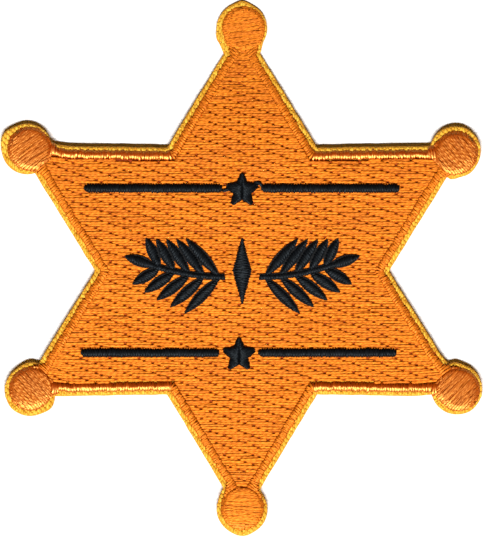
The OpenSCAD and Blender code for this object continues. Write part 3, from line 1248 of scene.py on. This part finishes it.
for side in ("upper_left", "upper_right", "lower_left", "lower_right"):
    low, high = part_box("bar_" + side)
    half = (high.y - low.y) / 2 + BAR_WIDER
    y = (high.y + low.y) / 2 + BAR_WIDER

    def bar_place(k):
        """The place of strand k, shorter at the bar's ends."""
        x = low.x + k * STRAND
        end = (min(x - low.x, high.x - x) + BAR_END) / half / BAR_TAPER
        wide = math.sqrt(max(1 - max(1 - end, 0) ** 2, BAR_NARROWEST))
        return np.array([x, y]), np.array([0.0, 1.0]), wide * half

    starts, ends = zigzag(int((high.x - low.x) / STRAND), bar_place, BLACK_TEETH)
    rise = BLACK_RISE * chance.normal(1, BAR_UNEVEN, len(starts))
    sew_black("bar_stitches_" + side, "bar_" + side, starts, ends, rise,
              core_down=0.2 * MM, shrink=0.06 * MM)

# %% [markdown]
# A small star is sewn as two halves: the strands of each half slant down from its outline to the
# star's upright centre line. Its points come out a little fat and blunt. On both sides of the upper
# star loose threads remain from the machine's jumps.

# %% The small stars
SLANT = math.radians(28)
STAR_GROWN = 0.2 * MM
STAR_BLUNT = 0.94
STAR_SHORTEST = 0.3 * MM
STAR_BELOW = 3 * MM
JUMP_HIGH = 0.2 * MM
JUMPS = [((-3.5, 13.4), (-2.4, 13.3), (-1.5, 14.0)), ((1.9, 14.75), (3.2, 14.9), (3.35, 13.8))]


def jump_lines(stops, rings):
    """Two loose strands side by side through three stops, given in mm."""
    share = np.linspace(0, 1, rings)[:, None]
    first, middle, last = (np.array(stop) * MM for stop in stops)
    flat = first * (1 - share) ** 2 + middle * 2 * share * (1 - share) + last * share ** 2
    over = left_of(unit(last - first)) * 0.08 * MM
    high = FIELD_TOP + JUMP_HIGH * np.sin(share[:, 0] * math.pi) ** 0.5
    return np.array([np.column_stack([flat + over * hand, high]) for hand in (-1, 1)])


def star_lines(corners, hand):
    """Strands of one half of a star: from its centre line outwards and up."""
    middle = corners.mean(axis=0)
    centre_x = (corners[:, 0].max() + corners[:, 0].min()) / 2
    way = np.array([hand * math.cos(SLANT), math.sin(SLANT)])
    low, high = corners[:, 1].min() - STAR_BELOW, corners[:, 1].max()
    reach = np.linalg.norm(corners - middle, axis=1).max() * STAR_BLUNT
    corners = grown(corners, STAR_GROWN)
    starts, ends = [], []
    for y in np.arange(low, high, STRAND / math.cos(SLANT)):
        root = np.array([centre_x, y])
        found = crossings(corners, root, way)
        for near, far_off in found[:len(found) // 2 * 2].reshape(-1, 2):
            near = max(near, 0.0)
            if far_off - near > STAR_SHORTEST:
                start = root + way * near
                end = root + way * (far_off + chance.normal(0, TEETH / 2))
                if np.linalg.norm(start - middle) < reach:
                    while np.linalg.norm(end - middle) > reach:
                        end = end + unit(start - end) * 0.05 * MM
                    starts.append(start)
                    ends.append(end)
    return starts, ends


for row in ("upper", "lower"):
    corners = outline_of("small_star_" + row)
    halves = [star_lines(corners, hand) for hand in (-1, 1)]
    starts, ends = (np.concatenate(part) for part in zip(*halves))
    piece = sew_black("star_stitches_" + row, "small_star_" + row, starts, ends,
                      rise_by_length(starts, ends, least=0.5) * 0.8, core_down=0.22 * MM, shrink=0.08 * MM,
                      lifted=0.28 * MM, width=0.9)
    if row == "upper":
        jumps = np.concatenate([jump_lines(stops, satin_master.rings) for stops in JUMPS])
        join(piece, sew("jump_threads", satin_master, jumps, black_thread, width=THREAD, high=0.12 * MM))

# %% [markdown]
# The two sprays of laurel mirror each other. Each leaf is a satin column of its own, whose strands
# slant from one side of the leaf to the other, and the stem is a narrow column over the leaves' roots.

# %% The laurel sprays
STEM_RADIUS = 38 * MM
STEM_DROP = 1 * MM
STEM_WIDTH = 1 * MM
STEM_LENGTH = 12.6 * MM
STEM_ROOT = 2.9 * MM
LEAF_LENGTH = 8.6 * MM
LEAF_TAPER = 0.36
LEAF_WIDTH = 1.85 * MM
LEAF_ANGLE = math.radians(47)
LEAF_PAIRS = 5
LEAF_SLANT = math.radians(62)
LEAF_FROM = 0.3 * MM
LEAF_ENDS = 0.5 * MM
LEAF_NARROWEST = 0.12 * MM
FIRST_LEAF = 0.3


def on_stem(run):
    """The place on the right stem that far along it, and the way it heads there."""
    turn_by = run / STEM_RADIUS
    at = np.array([STEM_ROOT + STEM_RADIUS * math.sin(turn_by),
                   STEM_RADIUS * (1 - math.cos(turn_by)) - STEM_DROP])
    return at, turn_by


def leaf_strands(root, heading, length):
    """Strands across one leaf."""
    way = np.array([math.cos(heading), math.sin(heading)])
    across = left_of(way) * math.sin(LEAF_SLANT) + way * math.cos(LEAF_SLANT)
    radius = (length ** 2 + LEAF_WIDTH ** 2) / (4 * LEAF_WIDTH)

    def place(k):
        run = LEAF_FROM + k * STRAND
        half = math.sqrt(radius ** 2 - (run - length / 2) ** 2) - (radius - LEAF_WIDTH / 2)
        return root + way * run, across, max(half, LEAF_NARROWEST)

    return zigzag(int((length - LEAF_ENDS) / STRAND), place, BLACK_TEETH)


def stem_strands():
    """Strands across the stem."""
    def place(k):
        at, heading = on_stem(k * STRAND)
        return at, np.array([-math.sin(heading), math.cos(heading)]), STEM_WIDTH / 2

    return zigzag(int(STEM_LENGTH / STRAND), place, BLACK_TEETH)


def laurel_strands():
    """All strands of the right spray: the leaves first, and the stem over their roots."""
    step = STEM_LENGTH / LEAF_PAIRS
    parts = []
    for leaf in range(LEAF_PAIRS):
        length = LEAF_LENGTH * (1 - LEAF_TAPER * leaf / (LEAF_PAIRS - 1))
        at, heading = on_stem((leaf + FIRST_LEAF) * step)
        parts += [leaf_strands(at, heading + hand * LEAF_ANGLE, length) for hand in (-1, 1)]
    at, heading = on_stem(STEM_LENGTH - LEAF_WIDTH / 2)
    parts.append(leaf_strands(at, heading, LEAF_LENGTH * (1 - LEAF_TAPER)))
    parts.append(stem_strands())
    return (np.concatenate(ends) for ends in zip(*parts))


for hand, mirror in (("right", 1), ("left", -1)):
    starts, ends = (places * (mirror, 1) for places in laurel_strands())
    sew_black("laurel_stitches_" + hand, "laurel_" + hand, starts, ends,
              rise_by_length(starts, ends, least=0.45), core_down=0.24 * MM)

# %% [markdown]
# The lozenge in the middle is one satin column that swells and narrows again, its strands level.

# %% The lozenge
LOZENGE_END = 0.2 * MM
LOZENGE_NARROWEST = 0.05 * MM
low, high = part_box("lozenge")
half_high, half_wide = (high.y - low.y) / 2, (high.x - low.x) / 2
centre = middle_of("lozenge")


def lozenge_place(k):
    """The place of strand k, longest in the middle."""
    y = -half_high + LOZENGE_END + k * STRAND
    wide = half_wide * (1 - abs(y) / half_high) + LOZENGE_NARROWEST
    return centre + np.array([0, y]), np.array([1.0, 0.0]), wide


starts, ends = zigzag(int((2 * half_high - 2 * LOZENGE_END) / STRAND), lozenge_place, BLACK_TEETH)
sew_black("lozenge_stitches", "lozenge", starts, ends, rise_by_length(starts, ends, least=0.45),
          core_down=0.22 * MM, shrink=0.06 * MM)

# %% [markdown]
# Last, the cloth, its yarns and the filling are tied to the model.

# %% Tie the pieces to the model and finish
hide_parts("ground_cloth")
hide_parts("field_fill")
for piece in (cloth, warp, field):
    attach(piece, "root")
